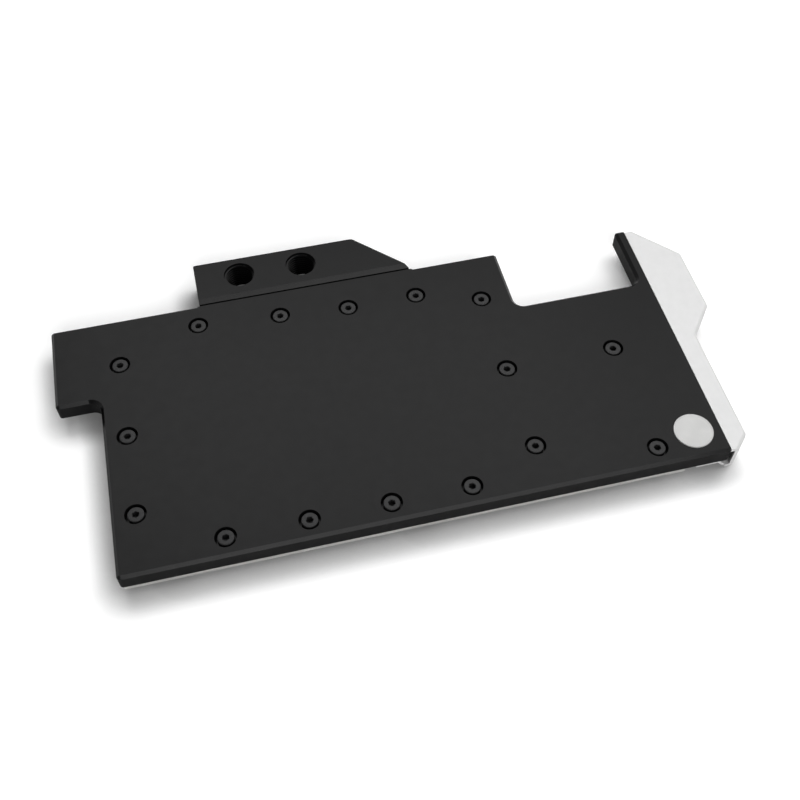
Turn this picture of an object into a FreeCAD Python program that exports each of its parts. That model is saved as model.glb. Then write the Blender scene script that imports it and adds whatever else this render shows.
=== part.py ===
import FreeCAD, Part
import math
import os

# Full-cover water block for a graphics card, laid flat with its working face down.
# X runs along the card, Y runs from the slot edge to the port edge, Z points up,
# away from the circuit board. The origin is the middle of the face that touches
# the graphics chip. All lengths are millimetres.

Vector = FreeCAD.Vector
UP = Vector(0, 0, 1)
BACK = Vector(0, 1, 0)

# Heights, counted from the face that touches the chip
chip_height = 2.0        # top of the chip above the circuit board
island_height = 1.6      # raised pads under the cold plate
cold_plate_t = 3.0       # cold plate between its pads and the top
top_t = 7.4              # black top plate
top_chamfer = 1.2        # bevel round the upper edge of the top plate

# Outline of the top plate, counted from its front left corner
plate_length = 235.7
plate_width = 120.1
outer_corner_r = 1.5
inner_corner_r = 4.5
wing_length = 17.6       # wing on the left that clears the card's bracket
wing_width = 40.0
gap_width = 55.7         # gap that leaves room for the power sockets
gap_depth = 31.4
arm_width = 4.0          # thin arm beside the gap

# The chip lies below the middle between the two ports
chip_back = 3.9          # chip behind the middle of the wet chamber

# Clearances
loose = 0.15             # free hole round a screw, all round
thread_gap = 0.05        # between a screw and its thread
tap_past = 0.5           # threaded hole past the tip of its screw
slip = 0.2               # between parts that are laid side by side

# Allowances of the cutting shapes
over = 1.0               # a cutter runs past an open face by this much
tiny = 0.01              # keeps two arcs of one outline from meeting in a point

# Screws that hold the top plate on the cold plate
screw_r = 2.0
screw_head_r = 3.2
screw_head_h = 2.8
screw_head_below = 0.3   # head below the upper face
counterbore_r = 4.2
screw_tip_cover = 0.5    # from a screw's tip to the cold plate's underside
hex_key = 2.5
socket_share = 0.57      # depth of a screw's socket in its head
head_edge = 0.35

# Places of those screws
side_inset = 9.2         # left column from the left edge
front_inset = 7.8        # front row from the front edge
left_pitch = 35.5
left_first = 25.0
front_first = 40.4
front_pitch = 31.2
middle_inset = 13.3      # middle column from the gap's left wall
middle_first = 19.5
middle_pitch = 38.2
right_inset = 27.3       # right pair from the right edge
back_screws = ((-34.4, 10.8), (0.0, 13.3), (28.9, 15.7), (58.5, 15.7))  # along X from the
                         # middle between the ports, and from the plate's back edge

# Main seal and the wet chamber inside it
seal_inset = 6.8         # from a row of screws to the middle of the seal
seal_cord_w = 2.3
seal_cord_h = 1.4
seal_edge = 0.35         # bevelled edges of the seals
seal_groove_w = 2.6
seal_corner_r = 4.0
wet_wall = 3.0           # from the middle of the seal to the chamber
chamber_depth = 4.0
chamber_corner_r = 2.5
branch_inset = 6.3       # branch over the right regulators from the screws round it

# Core: fins, jet plate and the space round them
fin_field_x = 30.0
fin_field_y = 29.2
fin_pitch = 0.8
fin_slot = 0.4
fin_depth = 2.4
trench_corner_r = 1.5
jet_plate_x = 38.0
jet_plate_y = 34.0
jet_plate_t = 1.0
jet_corner_r = 0.8
jet_slot_w = 2.4
jet_slot_l = 27.0
plenum_w = 12.0
feed_w = 12.0
divider = 4.0            # walls between the chambers

# Cold plate
cold_inset = 0.6         # cold plate inside the top plate's outline
cold_branch_y = 64.0
cold_gap_inset = 3.0     # cold plate short of the gap's left wall
core_island = (36.0, 32.0)
island_edge = 0.6
memory_bar = (13.0, 56.0)
memory_bar_x = 41.5
memory_back_bar = (46.0, 10.0)
memory_back_y = 39.0
regulator_bar_w = 8.0
regulator_bar_gap = 2.4  # from the left column of screws
left_bar_l = 53.0
right_bar_l = 38.0
choke_relief_w = 10.0    # shallow pockets over the chokes beside the right bar
choke_relief_depth = 1.0
choke_relief_gap = 1.0
core_hole_pitch = 61.0

# Standoffs under the cold plate
standoff_r = 2.5
standoff_stud_r = 1.5
standoff_stud_h = 2.0
standoff_bore_r = 1.25
standoff_bore_depth = 3.0
standoff_chamfer = 0.3
standoff_tap_past = 0.2
board_right_out = 5.5    # right front standoff beside the right pair of screws
board_right_rise = 6.2   # and behind the front row
board_back_inset = 15.6  # back left standoff from the plate's back edge
board_seal_in = 2.0      # back right standoff left of the seal
board_back_in = 3.0      # and in front of the back row
board_middle_in = 10.1   # middle standoff left of the right pair

# Terminal with the two threaded ports
terminal_x = 44.8        # left end from the plate's left edge
terminal_front_l = 92.0
terminal_depth = 21.3
terminal_t = 14.0
terminal_above = 1.1     # terminal above the top plate
terminal_bevel = 1.6
seat_step = 0.7          # machined seat on the plate's edge
seat_margin = 1.0
manifold_depth = 10.3    # thick rim behind the seat
manifold_gap = 2.1       # thick rim from the nearest screw of the top plate
rim_corner_r = 1.5
terminal_corner_r = 0.8
port_first = 19.0        # from the terminal's left end to the middle of a port
port_pitch = 27.1
port_inset = 9.4         # from the terminal's back to the middle of the ports
port_r = 5.72            # bore of the pipe thread
port_mouth_r = 6.6
passage_half_w = 6.5     # recess that meets the three drillings
passage_half_h = 2.6
passage_wall = 2.0       # metal between that recess and the bore
throat_half_w = 3.4      # way from the recess into the bore
face_seal_gap = 0.9
face_seal_w = 1.4
face_seal_h = 1.2
face_groove_w = 1.6
drill_r = 1.7
drill_step = 4.6
drill_rise = 3.75        # drillings climb this much from the seat to the seal line
riser_depth = 5.8
riser_length = 7.0
riser_past = 0.4         # riser past the end of the chamber

# Screws that hold the terminal
terminal_screw_r = 2.0
terminal_head_r = 3.5
terminal_head_h = 4.0
terminal_bore_r = 3.9
terminal_bore_depth = 4.6
terminal_grip = 7.6      # length in the top plate
terminal_hex_key = 3.0

# Side cover, folded from one sheet
cover_t = 1.6
cover_height = 12.5
cover_bend_r = 1.6
cover_corner_r = 2.5
cover_wide = 20.1        # reach at its wide end
cover_narrow = 8.9       # reach along its narrow part
cover_end_inset = 1.7    # cover short of the plate's back edge
cover_end_flat = 4.4
cover_end_slope = 17.1
cover_step_y = (56.5, 70.5)
cover_front_slope = 5.8
cover_front_flat = 3.3
tab_length = 12.5
tab_width = 11.0
tab_inset = 5.9          # outer tabs from the front edge and from the gap
tab_count = 3
tab_step = 3.2
tab_gap = 3.2            # from the tabs to the cold plate

# Screws of the side cover
cover_screw_r = 1.5
cover_head_r = 2.75
cover_head_h = 1.65
cover_grip = 4.0
cover_hex_key = 2.0
cover_screw_inset = 6.0

# Round badge in the front right corner
badge_r = 7.8
badge_t = 1.0
badge_recess = 0.7
badge_pad_t = 0.2
badge_edge = 0.3
badge_x_inset = 11.0
badge_y = 11.5

# Heights that follow from those above
foot_z = -chip_height
cold_z0 = island_height
cold_z1 = cold_z0 + cold_plate_t
top_z = cold_z1 + top_t
terminal_z1 = top_z + terminal_above
terminal_z0 = terminal_z1 - terminal_t
passage_z = (terminal_z0 + top_z - top_chamfer) / 2
cover_z0 = top_z - cover_height

# Places that follow from those above
gap_x1 = plate_length - arm_width
gap_x0 = gap_x1 - gap_width
gap_y = plate_width - gap_depth
seat_y = plate_width + seat_step
terminal_back = seat_y + terminal_depth
terminal_x1 = terminal_x + terminal_front_l
port_x = terminal_x + port_first
port_y = terminal_back - port_inset
chip_x = port_x + port_pitch / 2
rim_x0 = chip_x + back_screws[0][0] + screw_r + manifold_gap
rim_x1 = terminal_x1 + seat_margin
middle_x = gap_x0 - middle_inset
right_x = plate_length - right_inset
cold_x1 = plate_length - tab_length - tab_gap
cold_back = seat_y - manifold_depth - slip
cover_x = plate_length + slip
cover_end = plate_width - cover_end_inset
badge_x = plate_length - badge_x_inset
back_screw_y = plate_width - max(inset for _, inset in back_screws)
seal_x0 = side_inset + seal_inset
seal_x1 = middle_x - seal_inset
seal_y0 = front_inset + seal_inset
seal_y1 = back_screw_y - seal_inset
chip_y = (seal_y0 + seal_y1) / 2 + chip_back
core_front = chip_y - jet_plate_y / 2 - divider
core_back = chip_y + jet_plate_y / 2
branch_x1 = right_x - branch_inset
branch_y0 = middle_first + branch_inset
branch_y1 = middle_first + middle_pitch - branch_inset
wet_x0 = seal_x0 + wet_wall
wet_x1 = seal_x1 - wet_wall
wet_y0 = seal_y0 + wet_wall
wet_y1 = seal_y1 - wet_wall


def block(x0, y0, z0, x1, y1, z1):
    """A box between two corners."""
    return Part.makeBox(x1 - x0, y1 - y0, z1 - z0, Vector(x0, y0, z0))


def rod(r, start, direction, length):
    """A round bar from a point along a direction."""
    return Part.makeCylinder(r, length, start, direction)


def cone(r0, r1, start, direction, length):
    """A tapered round bar from a point along a direction."""
    return Part.makeCone(r0, r1, length, start, direction)


def rounded_face(points, z):
    """A flat face at height z. Each point is x, y and the radius of its corner."""
    edges = []
    starts = []
    ends = []
    middles = []
    count = len(points)
    for i, (x, y, r) in enumerate(points):
        here = Vector(x, y, z)
        before = Vector(points[i - 1][0], points[i - 1][1], z)
        after = Vector(points[(i + 1) % count][0], points[(i + 1) % count][1], z)
        to_before = (before - here).normalize()
        to_after = (after - here).normalize()
        if r <= 0:
            starts.append(here)
            ends.append(here)
            middles.append(None)
            continue
        half = to_before.getAngle(to_after) / 2
        reach = r / math.tan(half)
        bisector = (to_before + to_after).normalize()
        centre = here + bisector * (r / math.sin(half))
        starts.append(here + to_before * reach)
        ends.append(here + to_after * reach)
        middles.append(centre - bisector * r)
    for i in range(count):
        if middles[i] is not None:
            edges.append(Part.Arc(starts[i], middles[i], ends[i]).toShape())
        edges.append(Part.makeLine(ends[i], starts[(i + 1) % count]))
    return Part.Face(Part.Wire(edges))


def slab(points, z0, z1):
    """A flat plate with rounded corners between two heights."""
    return rounded_face(points, z0).extrude(UP * (z1 - z0))


def rectangle(x0, y0, x1, y1, r):
    """Corner points of a rectangle with one radius."""
    return [(x0, y0, r), (x1, y0, r), (x1, y1, r), (x0, y1, r)]


def hex_prism(key, start, direction, length):
    """A six-sided bar, measured across its flats."""
    corner_r = key / math.sqrt(3)
    corners = [Vector(corner_r * math.cos(math.radians(60 * i)),
                      corner_r * math.sin(math.radians(60 * i)), 0) for i in range(6)]
    bar = Part.Face(Part.makePolygon(corners + corners[:1])).extrude(UP * length)
    bar.Placement = FreeCAD.Placement(start, FreeCAD.Rotation(UP, direction))
    return bar


def edges_where(shape, test):
    """The edges whose ends all pass a test."""
    return [edge for edge in shape.Edges if all(test(v.Point) for v in edge.Vertexes)]


def near(a, b):
    """Whether two lengths are the same."""
    return abs(a - b) < 1e-4


def cap_screw(head_r, head_h, shank_r, length, key, start, direction):
    """A screw with a round head. Start is the middle of the seat under its head."""
    head = rod(head_r, start, direction * -1, head_h)
    rim = [edge for edge in head.Edges if near(edge.CenterOfMass.distanceToPoint(start), head_h)]
    head = head.makeChamfer(head_edge, rim)
    top = start - direction * head_h
    socket = hex_prism(key, top, direction, head_h * socket_share)
    shank = rod(shank_r, start, direction, length)
    return head.cut(socket).fuse(shank).removeSplitter()


def top_screw_places():
    """Middles of the screws through the top plate, seen from above."""
    left = [(side_inset, left_first + i * left_pitch) for i in range(3)]
    front = [(front_first + i * front_pitch, front_inset) for i in range(4)]
    middle = [(middle_x, middle_first + i * middle_pitch) for i in range(3)]
    right = [(right_x, front_inset), (right_x, middle_first + middle_pitch)]
    back = [(chip_x + along, plate_width - inset) for along, inset in back_screws]
    return left + front + middle + right + back


def port_places():
    """Middles of the two ports, seen from above."""
    return [(port_x + i * port_pitch, port_y) for i in range(2)]


def terminal_screw_xs():
    """Places of the terminal's screws along the seat, between and beside the ports."""
    return [port_x + (i - 0.5) * port_pitch for i in range(3)]


def tab_ys():
    """Middles of the side cover's tabs."""
    pitch = (gap_y - 2 * tab_inset) / (tab_count - 1)
    return [tab_inset + i * pitch for i in range(tab_count)]


def core_standoff_places():
    """Standoffs on the four holes round the chip."""
    half = core_hole_pitch / 2
    return [(chip_x + i * half, chip_y + j * half) for i in (-1, 1) for j in (-1, 1)]


def board_standoff_places():
    """Standoffs on the board's own holes along the rims."""
    left = front_first - front_pitch / 2
    front = [(left, front_inset), (left + 3 * front_pitch, front_inset),
             (right_x + board_right_out, front_inset + board_right_rise)]
    back = [(left, plate_width - board_back_inset),
            (seal_x1 - board_seal_in, back_screw_y - board_back_in),
            (right_x - board_middle_in, middle_first + middle_pitch)]
    return front + back


def seal_line():
    """Corner points of the middle line of the main seal."""
    r = seal_corner_r
    return [(seal_x0, seal_y0, r), (seal_x1, seal_y0, r), (seal_x1, branch_y0, r),
            (branch_x1, branch_y0, r), (branch_x1, branch_y1, r),
            (seal_x1, branch_y1, r), (seal_x1, seal_y1, r), (seal_x0, seal_y1, r)]


def top_outline():
    """Corner points of the top plate without the seat for the terminal."""
    out = outer_corner_r
    inn = inner_corner_r
    return [(0, 0, out), (plate_length, 0, 0), (plate_length, plate_width, 0),
            (gap_x1, plate_width, out), (gap_x1, gap_y, inn), (gap_x0, gap_y, inn),
            (gap_x0, plate_width, out), (-wing_length, plate_width, out),
            (-wing_length, plate_width - wing_width, out),
            (0, plate_width - wing_width, inn)]


def top_outline_with_seat():
    """The same outline with the raised seat that the terminal is screwed against."""
    points = top_outline()
    first = points.index((-wing_length, plate_width, outer_corner_r))
    x0 = terminal_x - seat_margin
    x1 = terminal_x1 + seat_margin
    seat = [(x1 + seat_step, plate_width, 0), (x1, seat_y, 0), (x0, seat_y, 0),
            (x0 - seat_step, plate_width, 0)]
    return points[:first] + seat + points[first:]


def chambers():
    """The wet chambers in the underside of the top plate."""
    r = chamber_corner_r
    z0 = cold_z1
    z1 = cold_z1 + chamber_depth
    feed_x = port_x
    outlet_x = port_x + port_pitch
    left_edge = chip_x - jet_plate_x / 2
    right_edge = chip_x + jet_plate_x / 2
    ring = slab([(wet_x0, wet_y0, r), (wet_x1, wet_y0, r), (wet_x1, wet_y1, r),
                 (outlet_x - feed_w / 2, wet_y1, r),
                 (outlet_x - feed_w / 2, core_back + divider, r),
                 (right_edge, core_back + divider, r),
                 (right_edge, core_front, r), (left_edge, core_front, r),
                 (left_edge, core_back, r),
                 (feed_x - feed_w / 2 - divider, core_back, r),
                 (feed_x - feed_w / 2 - divider, wet_y1, r), (wet_x0, wet_y1, r)], z0, z1)
    branch = slab(rectangle(wet_x1 - 2 * r, branch_y0 + wet_wall, branch_x1 - wet_wall,
                            branch_y1 - wet_wall, r), z0, z1)
    plenum_half = plenum_w / 2
    jet_half = jet_slot_l / 2
    feed = slab([(feed_x - feed_w / 2, wet_y1, r), (feed_x - feed_w / 2, core_back, r),
                 (chip_x - plenum_half, chip_y + jet_half, 0),
                 (chip_x - plenum_half, chip_y - jet_half, r),
                 (chip_x + plenum_half, chip_y - jet_half, r),
                 (chip_x + plenum_half, chip_y + jet_half, 0),
                 (feed_x + feed_w / 2, core_back + divider, r),
                 (feed_x + feed_w / 2, wet_y1, r)], z0, z1)
    return [ring.fuse(branch), feed]


def guide_ribs():
    """Ribs left standing in the chambers, which turn the flow and carry the cold plate."""
    z0 = cold_z1
    z1 = cold_z1 + chamber_depth
    r = divider / 2 - tiny
    left_mid = (wet_x0 + chip_x - jet_plate_x / 2) / 2
    right_mid = (wet_x1 + chip_x + jet_plate_x / 2) / 2
    ribs = []
    for x in (left_mid, right_mid):
        ribs.append(slab(rectangle(x - divider / 2, core_front, x + divider / 2, core_back, r),
                         z0, z1))
    front_y = (wet_y0 + core_front) / 2
    half = jet_plate_x / 2
    ribs.append(slab(rectangle(chip_x - half, front_y - divider / 2, chip_x + half,
                               front_y + divider / 2, r), z0, z1))
    return ribs


def manifold_drillings():
    """Slanted drillings from the terminal's seat over the main seal to the chambers."""
    slope = Vector(0, seal_y1 - seat_y, drill_rise).normalize()
    holes = []
    for x, _ in port_places():
        for step in (-1, 0, 1):
            start = Vector(x + step * drill_step, seat_y, passage_z)
            length = (seat_y - wet_y1) / abs(slope.y)
            holes.append(rod(drill_r, start - slope * drill_r, slope, length + drill_r))
        riser_half = drill_step + drill_r
        riser = slab(rectangle(x - riser_half, wet_y1 - riser_length, x + riser_half,
                               wet_y1 + riser_past, drill_r), cold_z1, cold_z1 + riser_depth)
        holes.append(riser)
    return holes


def make_top_plate():
    """Black top plate with its bevel, screw holes, chambers and seal groove."""
    body = slab(top_outline_with_seat(), cold_z1, top_z)
    rim = edges_where(body, lambda p: near(p.z, top_z))
    rim = [edge for edge in rim if not near(edge.CenterOfMass.x, plate_length)]
    body = body.makeChamfer(top_chamfer, rim)
    rim_y = seat_y - manifold_depth
    body = body.fuse(slab([(rim_x0, rim_y, rim_corner_r), (rim_x1, rim_y, rim_corner_r),
                           (rim_x1, seat_y, 0), (rim_x0, seat_y, 0)], terminal_z0, cold_z1))
    cuts = []
    for x, y in top_screw_places():
        head_z = top_z - screw_head_below - screw_head_h
        cuts.append(rod(counterbore_r, Vector(x, y, head_z), UP, top_z - head_z + over))
        cuts.append(rod(screw_r + loose, Vector(x, y, cold_z1 - over), UP, top_t))
    wet = chambers()
    ribs = Part.makeCompound(guide_ribs())
    cuts.append(wet[0].cut(ribs))
    cuts.append(wet[1])
    half_x = jet_plate_x / 2 + slip
    half_y = jet_plate_y / 2 + slip
    cuts.append(slab(rectangle(chip_x - half_x, chip_y - half_y, chip_x + half_x,
                               chip_y + half_y, jet_corner_r + slip),
                     cold_z1, cold_z1 + jet_plate_t))
    cuts.append(seal_groove())
    cuts.extend(manifold_drillings())
    for x in terminal_screw_xs():
        cuts.append(rod(terminal_screw_r + thread_gap, Vector(x, seat_y + over, passage_z),
                        BACK * -1, over + terminal_grip + tap_past))
    recess = Vector(badge_x, badge_y, top_z - badge_recess)
    cuts.append(rod(badge_r + slip / 2, recess, UP, badge_recess + over))
    for y in tab_ys():
        hole = Vector(plate_length - cover_screw_inset, y, cold_z1 - over)
        cuts.append(rod(cover_screw_r + thread_gap, hole, UP, over + cover_grip + tap_past))
    return body.cut(cuts).removeSplitter()


def closed_band(line, width, height):
    """A closed band of one width that stands on a flat line."""
    outer = line.makeOffset2D(width / 2)
    inner = line.makeOffset2D(-width / 2)
    return outer.cut(inner).extrude(UP * height)


def seal_groove():
    """Groove of the main seal."""
    return closed_band(rounded_face(seal_line(), cold_z1), seal_groove_w, seal_cord_h)


def moulded_ring(line, width, height):
    """A rubber ring on a flat line, with bevelled edges."""
    band = closed_band(line, width, height)
    z0 = line.Vertexes[0].Z
    return band.makeChamfer(seal_edge, edges_where(band, lambda p: near(p.z, z0))
                            + edges_where(band, lambda p: near(p.z, z0 + height)))


def make_main_seal():
    """Rubber ring in the groove between top plate and cold plate."""
    return moulded_ring(rounded_face(seal_line(), cold_z1), seal_cord_w, seal_cord_h)


def cold_outline():
    """Corner points of the cold plate."""
    e = cold_inset
    wing_side = rim_x0 - slip
    gap_side = gap_x0 - cold_gap_inset
    r = outer_corner_r
    return [(e, e, r), (cold_x1, e, r), (cold_x1, cold_branch_y, r),
            (gap_side, cold_branch_y, inner_corner_r), (gap_side, cold_back, r),
            (wing_side, cold_back, rim_corner_r + slip),
            (wing_side, plate_width - e, r), (e, plate_width - e, r)]


def island(cx, cy, size):
    """A raised pad below the cold plate, with a bevelled rim."""
    x, y = size
    pad = block(cx - x / 2, cy - y / 2, 0, cx + x / 2, cy + y / 2, cold_z0 + over)
    return pad.makeChamfer(island_edge, edges_where(pad, lambda p: near(p.z, 0)))


def fin_slots():
    """Narrow slots over the chip and the two trenches that gather their flow."""
    z0 = cold_z1 - fin_depth
    x0 = chip_x - fin_field_x / 2
    x1 = chip_x + fin_field_x / 2
    count = int(fin_field_y / fin_pitch)
    first = chip_y - (count - 1) * fin_pitch / 2
    slots = []
    for i in range(count):
        y = first + i * fin_pitch
        slots.append(block(x0 - over, y - fin_slot / 2, z0,
                           x1 + over, y + fin_slot / 2, cold_z1 + over))
    half_y = fin_field_y / 2
    reach = jet_plate_x / 2 + divider
    for x_in, x_out in ((chip_x - reach, x0), (x1, chip_x + reach)):
        slots.append(slab(rectangle(x_in, chip_y - half_y, x_out, chip_y + half_y,
                                    trench_corner_r), z0, cold_z1 + over))
    return slots


def right_bar_middle():
    """Middle of the pad over the right regulators."""
    return (middle_x + right_x) / 2, (branch_y0 + branch_y1) / 2


def cold_pads():
    """Pads below the cold plate, over the chip, the memory and the regulators."""
    pads = [island(chip_x, chip_y, core_island)]
    for side in (-1, 1):
        pads.append(island(chip_x + side * memory_bar_x, chip_y, memory_bar))
    pads.append(island(chip_x, chip_y + memory_back_y, memory_back_bar))
    left_bar_x = side_inset + screw_r + regulator_bar_gap + regulator_bar_w / 2
    pads.append(island(left_bar_x, left_first + left_pitch, (regulator_bar_w, left_bar_l)))
    right_bar_x, right_bar_y = right_bar_middle()
    pads.append(island(right_bar_x, right_bar_y, (regulator_bar_w, right_bar_l)))
    return pads


def choke_reliefs():
    """Shallow pockets below the cold plate, beside the right regulators' pad."""
    middle, y = right_bar_middle()
    half_l = right_bar_l / 2
    pockets = []
    for side in (-1, 1):
        x = middle + side * (regulator_bar_w + choke_relief_w + 2 * choke_relief_gap) / 2
        pockets.append(slab(rectangle(x - choke_relief_w / 2, y - half_l,
                                      x + choke_relief_w / 2, y + half_l, trench_corner_r),
                            cold_z0 - over, cold_z0 + choke_relief_depth))
    return pockets


def make_cold_plate():
    """Plated copper plate with pads below, fins above the chip and its screw threads."""
    body = slab(cold_outline(), cold_z0, cold_z1).fuse(cold_pads())
    cuts = choke_reliefs() + fin_slots()
    for x, y in top_screw_places():
        start = Vector(x, y, cold_z0 - over)
        cuts.append(rod(screw_r + thread_gap, start, UP, cold_plate_t + 2 * over))
    for x, y in core_standoff_places() + board_standoff_places():
        start = Vector(x, y, cold_z0 - over)
        cuts.append(rod(standoff_stud_r + thread_gap, start, UP,
                        over + standoff_stud_h + standoff_tap_past))
    return body.cut(cuts).removeSplitter()


def make_jet_plate():
    """Thin plate over the fins, with the slot that feeds them."""
    half_x = jet_plate_x / 2
    half_y = jet_plate_y / 2
    plate = slab(rectangle(chip_x - half_x, chip_y - half_y, chip_x + half_x,
                           chip_y + half_y, jet_corner_r), cold_z1, cold_z1 + jet_plate_t)
    slot = slab(rectangle(chip_x - jet_slot_w / 2, chip_y - jet_slot_l / 2,
                          chip_x + jet_slot_w / 2, chip_y + jet_slot_l / 2,
                          jet_slot_w / 2 - tiny), cold_z1 - over, cold_z1 + jet_plate_t + over)
    return plate.cut(slot)


def obround_face(x, half_w, half_h):
    """A flat face with round ends, centred on a port's place along X."""
    r = half_h - tiny
    return rounded_face([(x - half_w, -half_h, r), (x + half_w, -half_h, r),
                         (x + half_w, half_h, r), (x - half_w, half_h, r)], 0)


def laid_on_seat(shape, y):
    """Turns a shape that stands up so that it lies along Y, at the passages' height."""
    shape.rotate(Vector(0, 0, 0), Vector(1, 0, 0), -90)
    shape.translate(Vector(0, y, passage_z))
    return shape


def face_seal_line(x):
    """Middle line of a terminal seal, round its recess."""
    grow = face_seal_gap + face_groove_w / 2
    return obround_face(x, passage_half_w + grow, passage_half_h + grow)


def port_passage(x):
    """The way from the seat into a port: a wide recess, then a narrower throat."""
    to_bore = port_y - port_r - seat_y
    recess = obround_face(x, passage_half_w, passage_half_h)
    throat = obround_face(x, throat_half_w, passage_half_h)
    return [laid_on_seat(recess.extrude(UP * (over + to_bore - passage_wall)), seat_y - over),
            laid_on_seat(throat.extrude(UP * (port_y - seat_y)), seat_y)]


def make_terminal():
    """Black block with two threaded ports that go right through it."""
    slant = terminal_depth
    points = [(terminal_x, seat_y, 0), (terminal_x1, seat_y, 0),
              (terminal_x1 - slant, terminal_back, terminal_corner_r),
              (terminal_x, terminal_back, terminal_corner_r)]
    body = slab(points, terminal_z0, terminal_z1)
    front = edges_where(body, lambda p: near(p.z, terminal_z1) and near(p.y, seat_y))
    body = body.makeChamfer(terminal_bevel, front)
    mouth = port_mouth_r - port_r
    cuts = []
    for x, y in port_places():
        cuts.append(rod(port_r, Vector(x, y, terminal_z0 - over), UP, terminal_t + 2 * over))
        cuts.append(cone(port_r, port_mouth_r, Vector(x, y, terminal_z1 - mouth), UP, mouth))
        cuts.append(cone(port_mouth_r, port_r, Vector(x, y, terminal_z0), UP, mouth))
        cuts.extend(port_passage(x))
        groove = closed_band(face_seal_line(x), face_groove_w, face_seal_h)
        cuts.append(laid_on_seat(groove, seat_y))
    for x in terminal_screw_xs():
        seat = Vector(x, terminal_back - terminal_bore_depth, passage_z)
        cuts.append(rod(terminal_bore_r, seat, BACK, terminal_bore_depth + over))
        cuts.append(rod(terminal_screw_r + loose, Vector(x, seat_y - over, passage_z), BACK,
                        terminal_depth))
    return body.cut(cuts).removeSplitter()


def make_terminal_seal(index):
    """Rubber ring in its groove, between the terminal and its seat."""
    x, _ = port_places()[index]
    return laid_on_seat(moulded_ring(face_seal_line(x), face_seal_w, face_seal_h), seat_y)


def make_top_screws():
    """Screws through the top plate into the cold plate."""
    seat_z = top_z - screw_head_below - screw_head_h
    length = seat_z - cold_z0 - screw_tip_cover
    return [cap_screw(screw_head_r, screw_head_h, screw_r, length, hex_key,
                      Vector(x, y, seat_z), UP * -1) for x, y in top_screw_places()]


def make_terminal_screws():
    """Long screws through the terminal into the seat."""
    seat_y_head = terminal_back - terminal_bore_depth
    length = seat_y_head - seat_y + terminal_grip
    return [cap_screw(terminal_head_r, terminal_head_h, terminal_screw_r, length,
                      terminal_hex_key, Vector(x, seat_y_head, passage_z), BACK * -1)
            for x in terminal_screw_xs()]


def make_standoff(x, y):
    """A turned standoff: stud in the cold plate, threaded bore from its foot."""
    barrel = rod(standoff_r, Vector(x, y, foot_z), UP, cold_z0 - foot_z)
    rims = edges_where(barrel, lambda p: near(p.z, foot_z))
    barrel = barrel.makeChamfer(standoff_chamfer, rims)
    stud = rod(standoff_stud_r, Vector(x, y, cold_z0), UP, standoff_stud_h)
    bore = rod(standoff_bore_r, Vector(x, y, foot_z - over), UP, standoff_bore_depth + over)
    return barrel.fuse(stud).cut(bore).removeSplitter()


def cover_outline(front, back, inner_x):
    """Corner points of the side cover, from its front end to its back end."""
    narrow_x = cover_x + cover_narrow
    wide_x = cover_x + cover_wide
    r = cover_corner_r
    return [(inner_x, front, 0), (cover_x + cover_front_flat, front, 0),
            (cover_x + cover_front_flat, 0, 0 if front == 0 else r),
            (narrow_x, cover_front_slope, r), (narrow_x, cover_step_y[0], r),
            (wide_x, cover_step_y[1], r), (wide_x, cover_end - cover_end_slope, r),
            (cover_x + cover_end_flat, cover_end, 0 if back == cover_end else r),
            (cover_x + cover_end_flat, back, 0), (inner_x, back, 0)]


def drop_repeats(points):
    """The same points without any that coincide with the one before."""
    kept = []
    for point in points:
        if not kept or math.hypot(point[0] - kept[-1][0], point[1] - kept[-1][1]) > 1e-6:
            kept.append(point)
    return kept


def make_side_cover():
    """Silver cover folded from one sheet: top, outer wall, lower lip and three tabs."""
    z0 = cover_z0
    outline = drop_repeats(cover_outline(0, cover_end, cover_x))
    body = slab(outline, z0, top_z)
    bends = [edge for edge in body.Edges
             if all(near(v.Z, top_z) or near(v.Z, z0) for v in edge.Vertexes)
             and edge.CenterOfMass.x > cover_x + tiny
             and tiny < edge.CenterOfMass.y < cover_end - tiny]
    bends = [edge for edge in bends
             if near(edge.Vertexes[0].Z, edge.Vertexes[-1].Z)]
    body = body.makeFillet(cover_bend_r, bends)
    far = cover_wide
    wide_open = rounded_face(cover_outline(-far, cover_end + far, cover_x - far), z0 + cover_t)
    hollow = wide_open.makeOffset2D(-cover_t).extrude(UP * (cover_height - 2 * cover_t))
    body = body.cut(hollow)
    for y in tab_ys():
        body = body.fuse(cover_tab(y))
    holes = [rod(cover_screw_r + loose, Vector(plate_length - cover_screw_inset, y, z0),
                 UP, cold_z1 - z0 + over) for y in tab_ys()]
    return body.cut(holes).removeSplitter()


def cover_tab(y):
    """A tab that steps up from the cover's lower lip to the top plate's underside."""
    z0 = cover_z0
    z_tab = cold_z1 - cover_t
    x_end = plate_length - tab_length
    lip_x = cover_x - slip / 2
    profile = [(x_end, cold_z1), (lip_x - tab_step, cold_z1), (lip_x, z0 + cover_t),
               (cover_x + over, z0 + cover_t), (cover_x + over, z0), (lip_x, z0),
               (lip_x - tab_step, z_tab), (x_end, z_tab)]
    y0 = y - tab_width / 2
    corners = [Vector(x, y0, z) for x, z in profile]
    return Part.Face(Part.makePolygon(corners + corners[:1])).extrude(BACK * tab_width)


def make_cover_screws():
    """Small screws from below that hold the cover's tabs."""
    seat_z = cold_z1 - cover_t
    return [cap_screw(cover_head_r, cover_head_h, cover_screw_r, cover_t + cover_grip,
                      cover_hex_key, Vector(plate_length - cover_screw_inset, y, seat_z), UP)
            for y in tab_ys()]


def make_badge():
    """Plain round metal badge with a bevelled rim."""
    z0 = top_z - badge_recess + badge_pad_t
    disc = rod(badge_r, Vector(badge_x, badge_y, z0), UP, badge_t)
    return disc.makeChamfer(badge_edge, edges_where(disc, lambda p: near(p.z, z0 + badge_t)))


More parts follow.
